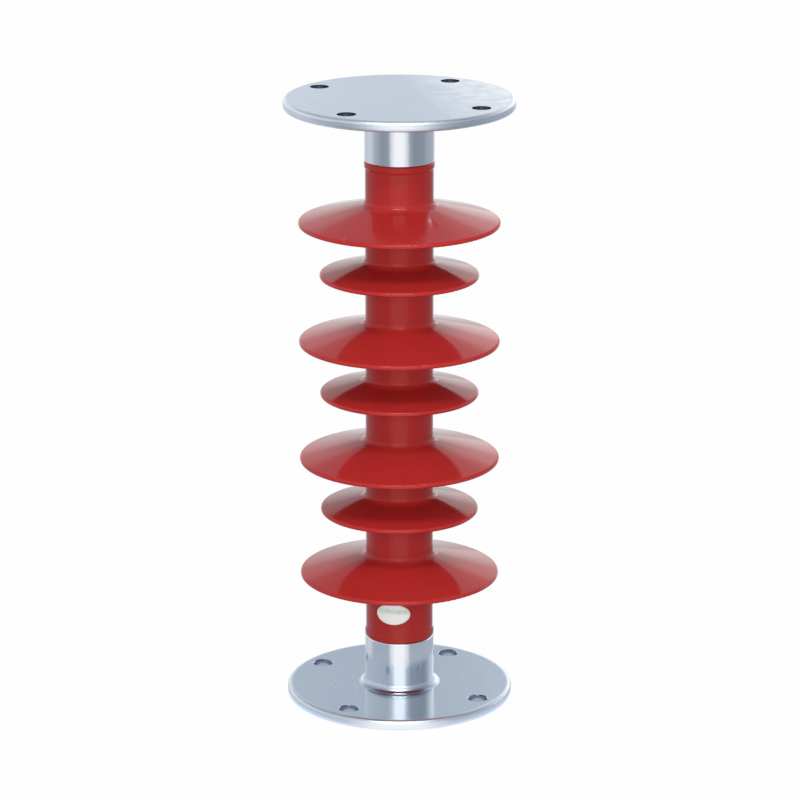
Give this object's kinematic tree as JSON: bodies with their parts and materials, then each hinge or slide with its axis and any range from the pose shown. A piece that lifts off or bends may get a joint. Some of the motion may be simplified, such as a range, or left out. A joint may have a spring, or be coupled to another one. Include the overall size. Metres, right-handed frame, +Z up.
{
  "type": "composite insulator",
  "caption": "Upright composite post insulator: red silicone rubber housing with alternating large and small sheds between two round metal flanges with bolt holes.",
  "frame": {"origin": "centre of the lower flange's flat seat", "axes": "+Z up along the rod from the lower flange to the upper one; the bolt holes lie at 45 degrees to X and Y"},
  "size_m": [0.17, 0.17, 0.461],
  "materials": {
    "rod": "pultruded glass fibre in epoxy resin, pale yellow green, smooth",
    "housing": "moulded brick-red silicone rubber, glossy with a faint bloom",
    "flange_metal": "zinc-plated steel, polished collar, fine crystal mottle on the plate",
    "seal": "black sealing rubber, satin"
  },
  "bodies": {
    "root": {"core_rod": "rod", "silicone_housing": "housing", "bottom_flange": "flange_metal", "top_flange": "flange_metal", "bottom_seal_ring": "seal", "top_seal_ring": "seal"}
  },
  "joints": []
}
